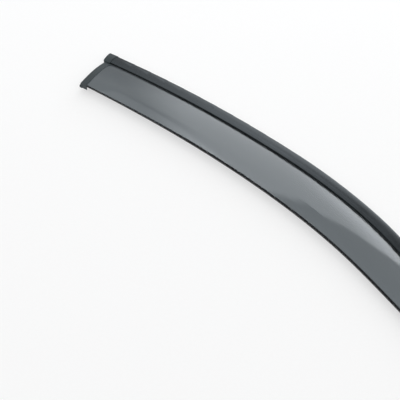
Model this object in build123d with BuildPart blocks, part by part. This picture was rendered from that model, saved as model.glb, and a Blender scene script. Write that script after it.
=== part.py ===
"""Stick-on rain deflector for the front side window of a car's right-hand door.

It lies as it sits on the door: the tape's face on z = 0, +Z out from the door, +X forward, +Y up.
The origin is on the tape's centre line, where the roof run of the window line meets its brow.
A section is drawn in two distances: in from the strip's outer edge, and out from the door.
"""

import os
from math import cos, degrees, radians, sin

from build123d import *

# Window line: radius and length of each arc of the strip's outer edge, from the rear end to the nose
roof_radius = 1800
roof_length = 330
brow_radius = 850
brow_length = 130
bend_radius = 520
bend_length = 200
pillar_radius = 700
pillar_length = 75

# Free edge: its distance in from the strip's outer edge, and how far back from the nose that is measured
rear_width = 78.6
rear_flare = 2.6
roof_width = 85.6
brow_width = 83
brow_setback = 235
bend_width = 68.5
bend_setback = 113
nose_width = 50
nose_setback = 50
chin_width = 28
chin_setback = 10
chin_slant = 45
nose_depth = 10

# Pane section: flange, foot, convex crest and nearly level crown
wall = 3.2
flange_chamfer = 0.8
foot_radius = 3
rise_angle = 22
crest_radius = 130
level_angle = 3
crown_radius = 400
crown_angle = 8
edge_round = 1

# Trim strip: rolled sheet, heights above the flange's face
sheet = 0.6
strip_width = 17
crown_place = 8
crown_height = 2.8
roll_height = 1.1
roll_radius = 1.4
dome_radius = 28
hem_height = 1.5
hem_radius = 1
back_hem = 4
groove_depth = 1.4
groove_room = 1.4
groove_land = 0.3

# Foam tape and its release liner
tape_width = 9
tape_thickness = 1
tape_recess = 0.4
tape_setback = 18
liner_thickness = 0.2
liner_overlap = 0.5
liner_tab = 6

# End caps
cap_wall = 2.6
cap_proud = 0.4
cap_lip = 0.8
cap_floor = 0.4
block_back = 2
block_corner = 2.5
block_shoulder = 4
block_length = 9
seam_turn = 11
seam_lean = 3.8
leg_inset = 0.5
leg_high = 10.2
leg_low = 11.6
leg_turn = 25
flare_end = 14.8
flare_tip = 0.8
ledge_width = 3
ledge_start = 28
wall_drop = 8
foot_reach = 1
rim_round = 1.2
lug_width = 5
lug_depth = 5.5
lug_height = 3.5
lug_floor = 5.5
lug_reach = 1.6
lug_back = 2
lug_round = 0.8
seam_outer = 16
seam_inner = 30
nose_round = 1.2

# Clearances, and how far a trimming outline runs past the part
seat_gap = 0.1
hem_gap = 0.25
seam_gap = 0.6
outside = 60

# Heights, distances and turns that follow from them
back_z = liner_thickness + tape_thickness - tape_recess
face_z = back_z + wall
hem_z = back_z - seat_gap - sheet
flange_edge = sheet + hem_gap
foot_start = strip_width + groove_room + groove_land
tape_line = flange_edge + back_hem + tape_width / 2
nose_wall = flange_edge + cap_proud
leg_end = block_corner - block_back + leg_inset
pane_rear = leg_end + cap_wall + seat_gap
window_length = roof_length + brow_length + bend_length + pillar_length
roof_turn = roof_length / roof_radius

# Window line in plan
rear_heading = (cos(roof_turn), sin(roof_turn))
rear_point = (-roof_radius * sin(roof_turn), tape_line - roof_radius * (1 - cos(roof_turn)))
with BuildLine() as window_line:
    roof = JernArc(rear_point, rear_heading, roof_radius, -degrees(roof_turn))
    brow = JernArc(roof @ 1, roof % 1, brow_radius, -degrees(brow_length / brow_radius))
    bend = JernArc(brow @ 1, brow % 1, bend_radius, -degrees(bend_length / bend_radius))
    pillar = JernArc(bend @ 1, bend % 1, pillar_radius, -degrees(pillar_length / pillar_radius))
window = window_line.wire()


def heading(station):
    """Direction of the window line at a station, forward."""
    return window.tangent_at(station, position_mode=PositionMode.LENGTH)


def inward(station, distance):
    """Point in plan that far in from the strip's outer edge, square to the window line."""
    along = heading(station)
    here = window.position_at(station, position_mode=PositionMode.LENGTH)
    return here + Vector(along.Y, -along.X, 0) * distance


def section_plane(station):
    """Plane square to the window line: x runs in from the strip's outer edge, y out from the door."""
    along = heading(station)
    return Plane(origin=inward(station, 0), x_dir=(along.Y, -along.X, 0), z_dir=-along)


def stretch(start, end):
    """Stretch of the window line between two stations."""
    return window.trim(start / window_length, end / window_length)


def pane_curve(shift, start=flange_edge):
    """Outer curve of the pane's section from start inwards, moved out by shift, and its two ends."""
    flange = Line((start, face_z + shift), (foot_start, face_z + shift))
    foot = JernArc(flange @ 1, flange % 1, foot_radius - shift, rise_angle)
    crest = JernArc(foot @ 1, foot % 1, crest_radius + shift, level_angle - rise_angle)
    crown = JernArc(crest @ 1, crest % 1, crown_radius + shift, -crown_angle)
    return flange @ 0, crown @ 1


def pane_band(high, low):
    """Section between two curves of the pane."""
    with BuildSketch() as band:
        with BuildLine():
            high_start, high_end = pane_curve(high)
            low_start, low_end = pane_curve(low)
            Line(high_start, low_start)
            Line(high_end, low_end)
        make_face()
    return band.sketch


def below_pane(shift, start, start_z, end_z):
    """Section from a curve of the pane down to a straight floor, from start inwards."""
    with BuildSketch() as region:
        with BuildLine():
            curve_start, curve_end = pane_curve(shift, start)
            Polyline(curve_start, (start, start_z), (curve_end.X, end_z), curve_end)
        make_face()
    return region.sketch


def dome(grow, reach):
    """Section over the strip, grown outwards and reaching that far in, down to the caps' floor."""
    top_edge = face_z + grow
    with BuildSketch() as region:
        with BuildLine():
            outer = FilletPolyline(
                (-grow, cap_floor),
                (-grow, top_edge + roll_height),
                (crown_place, top_edge + crown_height),
                (reach, top_edge + hem_height),
                (reach, cap_floor),
                radius=[roll_radius + grow, dome_radius + grow, hem_radius + grow],
            )
            Line(outer @ 1, outer @ 0)
        make_face()
    return region.sketch


def pane_outline(grow=0):
    """Plan of the pane grown by grow: free edge, chin, rounded nose, and open room past the strip."""
    nose_start = window_length - nose_wall - nose_depth
    nose_tip = window_length - nose_wall + grow
    chin_end = window_length - chin_setback + grow * sin(radians(chin_slant))
    free_edge = [
        inward(pane_rear - grow, rear_width + grow),
        inward(roof_length, roof_width + grow),
        inward(window_length - brow_setback, brow_width + grow),
        inward(window_length - bend_setback, bend_width + grow),
        inward(window_length - nose_setback, nose_width + grow),
        inward(chin_end, chin_width + grow * cos(radians(chin_slant))),
    ]
    with BuildSketch() as outline:
        with BuildLine():
            nose = TangentArc(
                inward(nose_start, -grow),
                inward(nose_tip, nose_depth),
                tangent=heading(nose_start),
            )
            chin = TangentArc(nose @ 1, free_edge[-1], tangent=nose % 1)
            rear_slant = heading(pane_rear).rotate(Axis.Z, -rear_flare)
            Spline(*free_edge, tangents=[rear_slant, -(chin % 1)])
            Polyline(
                nose @ 0,
                inward(nose_start, -outside),
                inward(roof_length + brow_length, -outside),
                inward(pane_rear - grow, -outside),
                free_edge[0],
            )
        make_face()
    return outline.sketch


def rear_zone(grow=0):
    """Plan of the rear end cap: a block over the strip's end, and a leg down the pane's end."""
    leg_foot = rear_width + foot_reach
    flare_side = foot_start + hem_gap
    with BuildSketch(Plane(origin=inward(0, 0), x_dir=heading(0))) as zone:
        with BuildLine():
            shoulder = JernArc((-block_back, 1 - block_shoulder), (0, 1), block_shoulder, -90)
            corner = JernArc((block_corner - block_back, -foot_start), (-1, 0), block_corner, -90)
            Line(corner @ 1, shoulder @ 0)
            leg = Polyline(
                corner @ 0,
                (block_corner - block_back, -leg_foot),
                (leg_low + grow, -leg_foot),
                (leg_high + grow, -leg_turn),
            )
            flare = TangentArc(leg @ 1, (flare_end + grow, -flare_side - flare_tip), tangent=leg % 1)
            block = Polyline(
                flare @ 1,
                (flare_end + grow, -flare_side),
                (block_length + grow, -flare_side),
                (block_length + grow, -seam_turn),
            )
            seam = TangentArc(block @ 1, (block_length + seam_lean + grow, 1), tangent=block % 1)
            Polyline(
                seam @ 1,
                (block_length + seam_lean + grow, outside),
                (block_shoulder - block_back, outside),
                shoulder @ 1,
            )
        make_face()
    return zone.sketch


def nose_zone(grow=0):
    """Plan of the nose cap: the strip's end ahead of a slanted seam."""
    with BuildSketch(Plane(origin=inward(window_length, 0), x_dir=-heading(window_length))) as zone:
        with BuildLine():
            Polyline(
                (-outside, -outside),
                (seam_outer + grow, -outside),
                (seam_outer + grow, 0),
                (seam_inner + grow, foot_start),
                (-outside, foot_start),
                close=True,
            )
        make_face()
    return zone.sketch


with BuildPart() as visor_pane:
    with BuildSketch(section_plane(0)) as pane_section:
        add(pane_band(0, -wall))
        chamfer(pane_section.vertices().sort_by(Axis.X)[:2], flange_chamfer)
        with Locations((strip_width + (groove_room - sheet - hem_gap) / 2, face_z)):
            Rectangle(sheet + hem_gap + groove_room, 2 * groove_depth, mode=Mode.SUBTRACT)
        with Locations((tape_line, back_z)):
            Rectangle(tape_width + 2 * hem_gap, 2 * tape_recess, mode=Mode.SUBTRACT)
    sweep(path=window)
    with BuildSketch():
        add(pane_outline())
    extrude(amount=outside, mode=Mode.INTERSECT)
    free_side = visor_pane.faces().filter_by(GeomType.EXTRUSION)
    fillet(free_side.edges().sort_by(Axis.Z)[-1], edge_round)

with BuildPart() as pane_room:
    with BuildSketch(section_plane(0)):
        add(below_pane(seat_gap, flange_edge - seat_gap, -cap_floor, -cap_floor))
    sweep(path=window)
    with BuildSketch(Plane.XY.offset(-cap_floor)):
        add(pane_outline(seat_gap))
    extrude(amount=outside, mode=Mode.INTERSECT)

with BuildPart() as trim_strip:
    with BuildSketch(section_plane(0)):
        with BuildLine():
            Polyline((back_hem, hem_z), (0, hem_z), (0, back_z))
            FilletPolyline(
                (0, back_z),
                (0, face_z + roll_height),
                (crown_place, face_z + crown_height),
                (strip_width, face_z + hem_height),
                (strip_width, face_z - groove_depth + seat_gap),
                radius=[roll_radius, dome_radius, hem_radius],
            )
            offset(amount=sheet, side=Side.RIGHT)
        make_face()
    sweep(path=window)
    with BuildSketch():
        add(rear_zone(seam_gap))
        add(nose_zone(seam_gap))
    extrude(amount=outside, mode=Mode.SUBTRACT)

with BuildPart() as rear_end_cap:
    with BuildSketch(section_plane(0).offset(-leg_end)):
        add(below_pane(seat_gap + cap_lip, flange_edge, cap_floor, wall_drop))
    extrude(amount=outside, dir=heading(0))
    leg_face = rear_end_cap.faces().sort_by(Axis((0, 0, 0), heading(0)))[0]
    fillet(leg_face.edges().filter_by(GeomType.CIRCLE), rim_round)
    with BuildSketch(section_plane(0).offset(outside / 2)):
        add(dome(cap_proud, foot_start))
    extrude(amount=outside, dir=heading(0))
    with BuildSketch():
        add(rear_zone())
    extrude(amount=outside, mode=Mode.INTERSECT)
    add(pane_room.part, mode=Mode.SUBTRACT)
    with BuildSketch(section_plane(0)):
        add(pane_band(-wall - seat_gap, -wall - seat_gap - cap_lip))
        with Locations(((ledge_start + rear_width) / 2, 0)):
            Rectangle(rear_width - ledge_start, outside, mode=Mode.INTERSECT)
    sweep(path=stretch(leg_end + cap_wall / 2, pane_rear + ledge_width))
    with BuildSketch(Plane(origin=inward(0, 0) + Vector(0, 0, lug_floor), x_dir=heading(0))):
        with Locations((leg_end - lug_back + lug_width / 2, -rear_width - lug_reach + lug_depth / 2)):
            RectangleRounded(lug_width, lug_depth, lug_round)
    extrude(amount=lug_height)

with BuildPart() as nose_cap:
    with BuildSketch(section_plane(window_length - seam_outer)):
        add(dome(cap_proud, strip_width + cap_proud))
    extrude(amount=outside, both=True)
    with BuildSketch():
        add(nose_zone())
        add(pane_outline(nose_wall), mode=Mode.INTERSECT)
    extrude(amount=outside, mode=Mode.INTERSECT)
    ahead = Axis((0, 0, 0), heading(window_length))
    nose_side = nose_cap.faces().filter_by(GeomType.CYLINDER).sort_by(ahead)[-1]
    fillet(nose_side.edges().sort_by(Axis.Z)[-1], nose_round)
    add(pane_room.part, mode=Mode.SUBTRACT)

with BuildPart() as foam_tape:
    with BuildSketch(section_plane(tape_setback)):
        with Locations((tape_line, liner_thickness + tape_thickness / 2)):
            Rectangle(tape_width, tape_thickness)
    sweep(path=stretch(tape_setback, window_length - seam_inner))

with BuildPart() as release_liner:
    with BuildSketch(section_plane(tape_setback - liner_tab)):
        with Locations((tape_line, liner_thickness / 2)):
            Rectangle(tape_width + 2 * liner_overlap, liner_thickness)
    sweep(path=stretch(tape_setback - liner_tab, window_length - seam_inner + liner_tab))

os.makedirs("parts", exist_ok=True)
pieces = {
    "visor_pane": visor_pane,
    "trim_strip": trim_strip,
    "rear_end_cap": rear_end_cap,
    "nose_cap": nose_cap,
    "foam_tape": foam_tape,
    "release_liner": release_liner,
}
for name, piece in pieces.items():
    piece.part.label = name
    export_step(piece.part, f"parts/{name}.step")
    print(name, round(piece.part.volume), piece.part.is_valid, len(piece.solids()), len(piece.faces()))
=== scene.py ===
# %% [markdown]
# # A window rain deflector
# A car's rain deflector sticks along the top of a side window, so that the glass can stay open in the
# rain. Its pieces are a smoked pane, a rolled strip, two end caps, foam tape and a peel-off liner. They
# could be modelled here once more, but the CAD model has their exact shapes, so it is loaded as it is.
# This lesson gives each piece its finish, lays the part on a white table and lights it as a shop would.

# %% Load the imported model
import math

import bpy
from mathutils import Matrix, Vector


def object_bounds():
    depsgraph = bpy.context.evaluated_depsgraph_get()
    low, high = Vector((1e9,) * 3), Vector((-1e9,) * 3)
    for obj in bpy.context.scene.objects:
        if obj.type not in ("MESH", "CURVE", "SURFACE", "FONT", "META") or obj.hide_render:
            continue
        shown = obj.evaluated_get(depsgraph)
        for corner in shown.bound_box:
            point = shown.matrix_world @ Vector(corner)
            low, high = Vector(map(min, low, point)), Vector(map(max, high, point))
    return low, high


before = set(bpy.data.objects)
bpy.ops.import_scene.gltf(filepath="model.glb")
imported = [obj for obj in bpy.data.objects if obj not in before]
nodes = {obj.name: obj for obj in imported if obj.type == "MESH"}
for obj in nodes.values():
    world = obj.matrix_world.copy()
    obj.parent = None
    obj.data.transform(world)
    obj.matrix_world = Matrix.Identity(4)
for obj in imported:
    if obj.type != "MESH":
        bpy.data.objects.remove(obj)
cad_low, cad_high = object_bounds()

# %% [markdown]
# ## The camera
# The photo looks down on the table from the front and the right. A long lens keeps the strip's two edges
# nearly parallel. The aim point is beside the part, because the photo cuts off the nose at its right
# edge. An aim constraint would do, but a fixed rotation from the line of sight is plain and stays put.

# %% Place the camera
camera_place = Vector((0.662, -0.9335, 1.321))
camera_aim = Vector((-0.051, -0.1365, 0.0))
lens_mm = 115.0
sight_limit = 50.0

scene = bpy.context.scene
camera = bpy.data.objects.new("camera", bpy.data.cameras.new("camera"))
camera.location = camera_place
camera.rotation_mode = "QUATERNION"
camera.rotation_quaternion = (camera_aim - camera_place).to_track_quat("-Z", "Y")
camera.data.lens = lens_mm
camera.data.clip_end = sight_limit
scene.collection.objects.link(camera)
scene.camera = camera
scene.view_settings.view_transform = "Standard"
print("camera stands", round((camera_aim - camera_place).length, 2), "m from its aim")

# %% [markdown]
# ## Tools for finishes
# Each finish is one material with one node tree. Every node could be made and set by hand. Three small
# helpers keep the steps short instead: one makes a material and gives back its tree and main shader, one
# adds a node with its sockets set by name, and one puts a material on a CAD piece.

# %% Start a finish


def new_finish(name):
    """A material with its tree and its main shader."""
    finish = bpy.data.materials.new(name)
    finish.use_nodes = True
    tree = finish.node_tree
    return finish, tree, tree.nodes["Principled BSDF"]


def add_node(tree, kind, **sockets):
    """A node of this kind, with its sockets set by name."""
    made = tree.nodes.new(kind)
    for socket, value in sockets.items():
        made.inputs[socket.replace("_", " ")].default_value = value
    return made


def wear_finish(node_name, finish):
    """Puts a finish on every slot of a CAD node."""
    mesh = nodes[node_name].data
    mesh.materials.clear()
    mesh.materials.append(finish)
    print(node_name, "wears", finish.name)


# %% [markdown]
# ## The smoked pane
# The pane is acrylic with a grey dye all through it. A see-through shader with a dark colour would tint
# every face alike. A dye in the volume does what the real one does: light that crosses the thin wall
# keeps part of its strength, and light that has to run along the wall to the free edge is lost, so the
# edge is dark.

# %% Dye the pane
dye_density = 440.0
dye_colour = (0.0, 0.08, 0.13, 1)
acrylic_ior = 1.49

smoked, tree, shader = new_finish("smoked_acrylic")
shader.inputs["Transmission Weight"].default_value = 1.0
shader.inputs["IOR"].default_value = acrylic_ior
dye = add_node(tree, "ShaderNodeVolumeAbsorption", Color=dye_colour, Density=dye_density)
tree.links.new(dye.outputs["Volume"], tree.nodes["Material Output"].inputs["Volume"])
print("dye density", dye_density, "per metre")

# %% [markdown]
# ## The pane's edge and its painted shade
# The edge is scraped after moulding, so it is rounded and less glossy than the faces. Its colour is
# also painted nearly black. This is painted shade, which stands in for the dark look of the thick edge.
# Its faces could be picked one by one, but the dark band also runs a little way over the rounding. A
# Bevel node gives the direction that a rounded copy of the surface would face. Where this leaves the
# surface's own direction, there is an edge, and the two directions' product falls below one. The groove's
# sharp lip is found in the same way, so the painted shade also darkens the groove, where shade falls. The
# scraper bites less where it starts, and the groove is less shaded there, so the reach, and with it the
# painted shade, is small at the rear end and grows along the roof run.

# %% Find the edge
edge_reach_mm = 5.5
rear_reach_mm = 2.0
rear_x = -0.29
full_x = -0.12
edge_match = 0.985
face_match = 0.998
bevel_samples = 16


def spread(tree, value, start, stop, low, high, kind="LINEAR"):
    """A change from low to high as a value goes from start to stop."""
    span = add_node(tree, "ShaderNodeMapRange", From_Min=start, From_Max=stop, To_Min=low, To_Max=high)
    span.interpolation_type = kind
    tree.links.new(value, span.inputs["Value"])
    return span.outputs["Result"]


surface = tree.nodes.new("ShaderNodeNewGeometry")
where = tree.nodes.new("ShaderNodeTexCoord")
along = tree.nodes.new("ShaderNodeSeparateXYZ")
tree.links.new(where.outputs["Object"], along.inputs["Vector"])
# The reach sets how far the painted shade, the duller rim and the rounded direction go.
reach = spread(tree, along.outputs["X"], rear_x, full_x, rear_reach_mm / 1000.0, edge_reach_mm / 1000.0)
rounded = tree.nodes.new("ShaderNodeBevel")
rounded.samples = bevel_samples
tree.links.new(reach, rounded.inputs["Radius"])
agreement = tree.nodes.new("ShaderNodeVectorMath")
agreement.operation = "DOT_PRODUCT"
tree.links.new(surface.outputs["Normal"], agreement.inputs[0])
tree.links.new(rounded.outputs["Normal"], agreement.inputs[1])
is_face = spread(tree, agreement.outputs["Value"], edge_match, face_match, 0.0, 1.0)
print("the scraped edge reaches", rear_reach_mm, "mm at the rear end and", edge_reach_mm, "mm further on")

# %% [markdown]
# ## Tones
# Two materials could be used for the edge and the faces, but then the line between them would be hard. A
# colour ramp blends two tones by any value, so one helper serves the painted shade of the edge here and
# the soft patches of the coats and plastics further on. Most of a noise lies between 0.3 and 0.7, and so
# do the ramp's two stops.

# %% Paint shade on the edge
pattern_low = 0.3
pattern_high = 0.7
painted_edge_shade = (0.001, 0.001, 0.0012)
clear_tone = (1, 1, 1)


def add_tones(tree, pattern, dark, light, socket):
    """Spreads a pattern between two colours and feeds a socket with it."""
    ramp = tree.nodes.new("ShaderNodeValToRGB")
    stops = ramp.color_ramp.elements
    stops[0].position = pattern_low
    stops[0].color = (*dark, 1)
    stops[1].position = pattern_high
    stops[1].color = (*light, 1)
    tree.links.new(pattern, ramp.inputs["Fac"])
    tree.links.new(ramp.outputs["Color"], socket)


# Painted shade: the edge and the groove's lip get a nearly black colour in place of the shade they show
# under the lamps.
add_tones(tree, is_face, painted_edge_shade, clear_tone, shader.inputs["Base Color"])
print("the edge's tone is", painted_edge_shade)

# %% [markdown]
# ## Polish
# The faces are polished, but not quite evenly, and the scraped edge is duller. A picture of smears could
# be laid over the pane, but a noise needs no unwrapping. It is measured in millimetres and read from
# object coordinates, which are metres in the CAD frame, so a grain has the same size on every piece and
# stays on it from any side.

# %% Polish the faces
polish_patch_mm = 60.0
polish_smooth = 0.01
polish_dull = 0.018
edge_roughness = 0.15


def add_noise(tree, size_mm, detail=3.0, stretch=(1, 1, 1)):
    """A noise whose patches are about this size, with its value as output."""
    where = tree.nodes.new("ShaderNodeTexCoord")
    scaled = add_node(tree, "ShaderNodeMapping", Scale=stretch)
    noise = add_node(tree, "ShaderNodeTexNoise", Scale=1000.0 / size_mm, Detail=detail)
    tree.links.new(where.outputs["Object"], scaled.inputs["Vector"])
    tree.links.new(scaled.outputs["Vector"], noise.inputs["Vector"])
    return noise.outputs["Fac"]


def add_range(tree, pattern, low, high, socket):
    """Spreads a pattern over a range of values and feeds a socket with it."""
    tree.links.new(spread(tree, pattern, pattern_low, pattern_high, low, high), socket)


gloss = add_node(tree, "ShaderNodeMix", A=edge_roughness)
tree.links.new(is_face, gloss.inputs["Factor"])
add_range(tree, add_noise(tree, polish_patch_mm), polish_smooth, polish_dull, gloss.inputs["B"])
tree.links.new(gloss.outputs["Result"], shader.inputs["Roughness"])
print("the pane's roughness is", polish_smooth, "to", polish_dull, "and", edge_roughness, "at its edge")

# %% [markdown]
# ## Bent reflections
# A moulded pane has a very low swell, which bends what it mirrors a little. The mesh could be made wavy,
# but the CAD shapes stay as they are, so a bump of a few hundredths of a millimetre does it. At the
# scraped edge the bump starts from the rounded direction, so that reflections run round the edge as they
# do on the real one.

# %% Bend the reflections
swell_patch_mm = 45.0
swell_height_mm = 0.02


def add_bump(tree, pattern, height_mm, shader):
    """Raises a surface by a pattern of this height."""
    bump = add_node(tree, "ShaderNodeBump", Strength=1.0, Distance=height_mm / 1000.0)
    tree.links.new(pattern, bump.inputs["Height"])
    tree.links.new(bump.outputs["Normal"], shader.inputs["Normal"])
    return bump


def in_use(sockets):
    """The sockets that a node's present kind of data leaves switched on."""
    return [socket for socket in sockets if socket.enabled]


turn = tree.nodes.new("ShaderNodeMix")
turn.data_type = "VECTOR"
share_socket, edge_socket, face_socket = in_use(turn.inputs)
tree.links.new(is_face, share_socket)
tree.links.new(rounded.outputs["Normal"], edge_socket)
tree.links.new(surface.outputs["Normal"], face_socket)
swell = add_bump(tree, add_noise(tree, swell_patch_mm, detail=1.0), swell_height_mm, shader)
tree.links.new(in_use(turn.outputs)[0], swell.inputs["Normal"])
wear_finish("visor_pane", smoked)

# %% [markdown]
# ## The trim strip
# The strip is thin steel with a black gloss coat, rolled to its shape before it is fitted. The coat shows
# the slight orange peel of sprayed paint. It could be drawn as a picture of dimples, but a bump of noise
# is enough: its patches are about a millimetre across and a few thousandths of a millimetre high. A
# stronger bump would look like leather. Black coats of this kind have a cold gloss, so the reflection has
# a trace of blue.

# %% Coat the strip
coat_patch_mm = 25.0
coat_dark = (0.006, 0.008, 0.009)
coat_light = (0.009, 0.012, 0.014)
coat_smooth = 0.22
coat_dull = 0.27
peel_patch_mm = 1.6
peel_height_mm = 0.004
coat_ior = 1.52
cold_tint = (0.86, 0.94, 1.0, 1)

coated, tree, shader = new_finish("gloss_black_coat")
coat_patches = add_noise(tree, coat_patch_mm)
add_tones(tree, coat_patches, coat_dark, coat_light, shader.inputs["Base Color"])
add_range(tree, coat_patches, coat_smooth, coat_dull, shader.inputs["Roughness"])
add_bump(tree, add_noise(tree, peel_patch_mm, detail=1.0), peel_height_mm, shader)
shader.inputs["IOR"].default_value = coat_ior
shader.inputs["Specular Tint"].default_value = cold_tint
wear_finish("trim_strip", coated)

# %% [markdown]
# ## The end caps
# The caps are moulded plastic with a fine spark-eroded grain, which the mould leaves on it. Such a grain
# is far too fine to model, so it is a noise of about a third of a millimetre. The satin look comes from a
# higher roughness that varies with the same grain.

# %% Grain the caps
moulding_patch_mm = 12.0
moulding_dark = (0.028, 0.038, 0.042)
moulding_light = (0.034, 0.045, 0.049)
grain_mm = 0.35
grain_height_mm = 0.02
satin_smooth = 0.42
satin_dull = 0.55
satin_specular = 0.35

moulded, tree, shader = new_finish("satin_black_moulding")
moulding_patches = add_noise(tree, moulding_patch_mm)
add_tones(tree, moulding_patches, moulding_dark, moulding_light, shader.inputs["Base Color"])
mould_grain = add_noise(tree, grain_mm, detail=2.0)
add_range(tree, mould_grain, satin_smooth, satin_dull, shader.inputs["Roughness"])
add_bump(tree, mould_grain, grain_height_mm, shader)
shader.inputs["Specular IOR Level"].default_value = satin_specular
for cap in ("rear_end_cap", "nose_cap"):
    wear_finish(cap, moulded)

# %% [markdown]
# ## The foam tape
# The tape is closed-cell foam: small round cells, open where the knife cut them. A noise has no such
# cells, but a Voronoi pattern does. Its cells are about half a millimetre wide, and the same pattern
# colours and dents them.

# %% Cut the foam
cell_mm = 0.5
cell_depth_mm = 0.15
foam_dark = (0.035, 0.035, 0.038)
foam_light = (0.07, 0.07, 0.075)
foam_roughness = 0.9

foam, tree, shader = new_finish("grey_foam")
where = tree.nodes.new("ShaderNodeTexCoord")
cells = add_node(tree, "ShaderNodeTexVoronoi", Scale=1000.0 / cell_mm)
tree.links.new(where.outputs["Object"], cells.inputs["Vector"])
add_tones(tree, cells.outputs["Distance"], foam_dark, foam_light, shader.inputs["Base Color"])
shader.inputs["Roughness"].default_value = foam_roughness
add_bump(tree, cells.outputs["Distance"], cell_depth_mm, shader)
wear_finish("foam_tape", foam)

# %% [markdown]
# ## The liner
# The liner is a smooth red film that is peeled off before the tape is pressed on. Its rollers leave faint
# lengthwise streaks. A noise that is stretched along the part gives them without a picture.

# %% Roll the film
streak_mm = 3.0
streak_stretch = (0.05, 1, 1)
streak_height_mm = 0.004
film_dark = (0.42, 0.02, 0.018)
film_light = (0.5, 0.03, 0.025)
film_smooth = 0.25
film_dull = 0.36

film, tree, shader = new_finish("red_film")
streaks = add_noise(tree, streak_mm, stretch=streak_stretch)
add_tones(tree, streaks, film_dark, film_light, shader.inputs["Base Color"])
add_range(tree, streaks, film_smooth, film_dull, shader.inputs["Roughness"])
add_bump(tree, streaks, streak_height_mm, shader)
wear_finish("release_liner", film)

# %% [markdown]
# ## The table
# The part lies on a large white card. A studio often bends the card up behind the part, but the camera
# looks down far enough here to see nothing else, so one flat sheet does. It lies a hair below the liner,
# so that the two faces never fight for the same place.

# %% Lay the table
table_half = 3.0
table_drop = 0.0002

corners = [
    (-table_half, -table_half),
    (table_half, -table_half),
    (table_half, table_half),
    (-table_half, table_half),
]
sheet = bpy.data.meshes.new("table")
sheet.from_pydata([(x, y, cad_low.z - table_drop) for x, y in corners], [], [(0, 1, 2, 3)])
table = bpy.data.objects.new("table", sheet)
scene.collection.objects.link(table)
print("the table is", 2 * table_half, "m wide")

# %% [markdown]
# ## Rays that see the white
# Card that is only lit never comes out quite white, and turning the lamps up would wash out the part. So
# the card and the room get a glow of their own, but only for rays that come straight from the camera, off
# a gloss surface or through the pane. The Light Path node tells these rays from the rest.

# %% Pick the seen rays


def combine(tree, operation, first, second):
    """The result of one operation on two values, each a number or a socket."""
    step = tree.nodes.new("ShaderNodeMath")
    step.operation = operation
    for socket, value in zip(step.inputs, (first, second)):
        if isinstance(value, (int, float)):
            socket.default_value = value
        else:
            tree.links.new(value, socket)
    return step.outputs["Value"]


def seen_rays(tree):
    """One for a ray from the camera, off a gloss surface or through the pane, and nought for the rest."""
    path = tree.nodes.new("ShaderNodeLightPath")
    total = path.outputs["Is Camera Ray"]
    for kind in ("Is Glossy Ray", "Is Transmission Ray"):
        total = combine(tree, "MAXIMUM", total, path.outputs[kind])
    return total


# %% [markdown]
# ## White card
# Card is dull paper with hardly any shine. A card of pure glow would show no shadow, and then the part
# would seem to float. This one takes only about half of its brightness from the glow and the rest from
# the lamps, and so it keeps the shadow.

# %% Whiten the card
fibre_mm = 4.0
card_dark = (0.89, 0.89, 0.89)
card_light = (0.91, 0.91, 0.91)
card_roughness = 0.9
card_glow = 0.55

paper, tree, shader = new_finish("white_card")
add_tones(tree, add_noise(tree, fibre_mm), card_dark, card_light, shader.inputs["Base Color"])
shader.inputs["Roughness"].default_value = card_roughness
shader.inputs["Specular IOR Level"].default_value = 0.0
glow = add_node(tree, "ShaderNodeEmission", Color=(1, 1, 1, 1), Strength=1.0)
blend = tree.nodes.new("ShaderNodeMixShader")
tree.links.new(combine(tree, "MULTIPLY", seen_rays(tree), card_glow), blend.inputs["Fac"])
tree.links.new(shader.outputs["BSDF"], blend.inputs[1])
tree.links.new(glow.outputs["Emission"], blend.inputs[2])
tree.links.new(blend.outputs["Shader"], tree.nodes["Material Output"].inputs["Surface"])
sheet.materials.append(paper)
print("the card's glow is", card_glow)

# %% [markdown]
# ## The room
# A white room lights the part evenly from all sides. What the gloss surfaces mirror is not even: the
# walls are white, but the ceiling is darker, and so is the front, where the camera stands. That gives the
# rolled strip its soft change from light to dark. The low corner at the left is a bit dim, which takes
# some shine off the rear end. A photo of a room could be wrapped round the scene, but a few fades by
# direction are easier to change.

# %% Shade the walls
wall_glow = 1.0
ceiling_glow = 0.25
ceiling_rise = (0.6, 0.95)
front_glow = 0.25
front_depth = (-0.3, 0.2)
corner_glow = 0.68
corner_turn = -3.0
corner_edge = (2.2, 2.42)


def fade(tree, value, edge, low, high):
    """A change from low to high over an edge, without a hard line at either end."""
    return spread(tree, value, *edge, low, high, "SMOOTHSTEP")


def lean(tree, main, other, share):
    """A slanted direction: one place value plus a share of another."""
    return combine(tree, "ADD", main, combine(tree, "MULTIPLY", other, share))


world = bpy.data.worlds.new("white_room")
scene.world = world
world.use_nodes = True
tree = world.node_tree
where = tree.nodes.new("ShaderNodeTexCoord")
split = tree.nodes.new("ShaderNodeSeparateXYZ")
tree.links.new(where.outputs["Generated"], split.inputs["Vector"])
upper = spread(tree, split.outputs["Z"], *ceiling_rise, wall_glow, ceiling_glow)
front = spread(tree, split.outputs["Y"], *front_depth, front_glow, 1.0)
low_left = lean(tree, split.outputs["Y"], split.outputs["X"], corner_turn)
corner = fade(tree, low_left, corner_edge, 1.0, corner_glow)
shade = combine(tree, "MULTIPLY", combine(tree, "MULTIPLY", upper, front), corner)
print("walls glow", wall_glow, "ceiling", ceiling_glow, "front", front_glow, "corner", corner_glow)

# %% [markdown]
# ## Light from the room
# One shaded room could serve all rays, but then the light on the part would change with every shade. So
# rays that only carry light meet an even room, which also leaves less grain. Rays that are seen meet the
# shaded walls, and the camera itself always sees white behind the table.

# %% Light the room
room_light = 0.85

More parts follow.
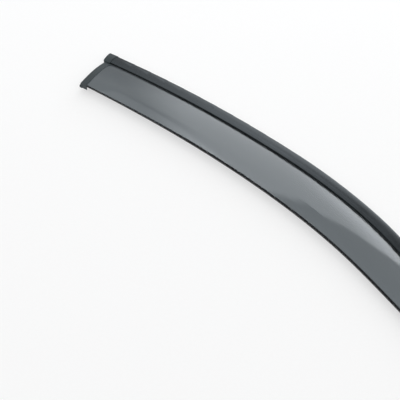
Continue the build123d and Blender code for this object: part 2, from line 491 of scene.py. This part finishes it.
even = tree.nodes["Background"]
even.inputs["Color"].default_value = (1, 1, 1, 1)
even.inputs["Strength"].default_value = room_light
direct = tree.nodes.new("ShaderNodeLightPath")
walls = tree.nodes.new("ShaderNodeBackground")
backdrop = combine(tree, "MAXIMUM", shade, direct.outputs["Is Camera Ray"])
tree.links.new(backdrop, walls.inputs["Strength"])
pick = tree.nodes.new("ShaderNodeMixShader")
tree.links.new(seen_rays(tree), pick.inputs["Fac"])
tree.links.new(even.outputs["Background"], pick.inputs[1])
tree.links.new(walls.outputs["Background"], pick.inputs[2])
tree.links.new(pick.outputs["Shader"], tree.nodes["World Output"].inputs["Surface"])
print("the room's light is", room_light)

# %% [markdown]
# ## A softbox
# A softbox is a lamp behind a sheet of cloth. A glowing plane would do, but an area lamp is sampled
# better and leaves less grain. Its power is set so that a strength of one is as bright as white paper.
# Cloth on a softbox is never evenly bright, so each one below fades across its face. The fades are read
# from the place on the face, in metres, and no edge is quite hard.

# %% Build a softbox
daylight = (0.93, 0.97, 1.0)


def add_softbox(name, place, aim, width, height):
    """A softbox of radiance one that faces its aim: its tree and the sockets of a place on its face."""
    lamp = bpy.data.lights.new(name, "AREA")
    lamp.shape = "RECTANGLE"
    lamp.size = width
    lamp.size_y = height
    lamp.energy = math.pi * width * height
    lamp.color = daylight
    softbox = bpy.data.objects.new(name, lamp)
    softbox.location = place
    softbox.rotation_mode = "QUATERNION"
    softbox.rotation_quaternion = (Vector(aim) - Vector(place)).to_track_quat("-Z", "Y")
    softbox.visible_camera = False
    scene.collection.objects.link(softbox)
    lamp.use_nodes = True
    face = lamp.node_tree.nodes.new("ShaderNodeNewGeometry")
    split = lamp.node_tree.nodes.new("ShaderNodeSeparateXYZ")
    lamp.node_tree.links.new(face.outputs["Position"], split.inputs["Vector"])
    print(name, "at", place, width, "by", height, "m")
    return lamp.node_tree, split.outputs


# %% [markdown]
# ## The back softbox
# A wide softbox stands behind the table. The pane mirrors it near the groove, and its slanted top edge is
# the line where the bright part of the pane ends. It is brightest low down at the right, which the bend
# of the pane towards the nose mirrors. Two lamps could do this, but one with two fades leaves no seam.

# %% Hang the back softbox
top_slant = 1.5
top_edge = (0.6, 0.76)
left_slant = 0.2
left_edge = (-1.36, -0.99)
wide_level = 1.8
right_edge = (-0.75, -0.2)
right_level = 2.35
low_edge = (0.3, 1.5)

tree, spot = add_softbox("back_softbox", (-0.5, 1.6, 1.3), (-0.5, 0.0, 1.3), 2.8, 2.6)
below_top = fade(tree, lean(tree, spot["Z"], spot["X"], top_slant), top_edge, 1.0, 0.0)
wide_part = fade(tree, lean(tree, spot["X"], spot["Z"], left_slant), left_edge, 0.0, wide_level)
right_part = fade(tree, spot["X"], right_edge, 0.0, right_level)
low_part = combine(tree, "MULTIPLY", right_part, fade(tree, spot["Z"], low_edge, 1.0, 0.0))
level = combine(tree, "MULTIPLY", combine(tree, "ADD", wide_part, low_part), below_top)
tree.links.new(level, tree.nodes["Emission"].inputs["Strength"])

# %% [markdown]
# ## The top softbox
# A smaller softbox hangs overhead to the left and lights the inner side of the strip's crown. It is
# brighter to the right and ends in a slant there, so that the strip turns dark towards the nose. Its far
# end is cut off too, because the pane would mirror it. Moving the lamp would change the light on the
# whole strip, so its face is faded instead.

# %% Hang the top softbox
bright_edge = (-1.3, -0.7)
dim_level = 0.45
bright_level = 3.0
near_slant = -0.9
near_edge = (-1.12, -0.96)
far_slant = 0.5
far_edge = (0.44, 0.54)

tree, spot = add_softbox("top_softbox", (-0.9, 0.57, 1.5), (-0.9, 0.57, 0), 1.0, 1.0)
bright_part = fade(tree, spot["X"], bright_edge, dim_level, bright_level)
right_end = fade(tree, lean(tree, spot["X"], spot["Y"], near_slant), near_edge, 1.0, 0.0)
far_end = fade(tree, lean(tree, spot["Y"], spot["X"], far_slant), far_edge, 1.0, 0.0)
level = combine(tree, "MULTIPLY", combine(tree, "MULTIPLY", bright_part, right_end), far_end)
tree.links.new(level, tree.nodes["Emission"].inputs["Strength"])
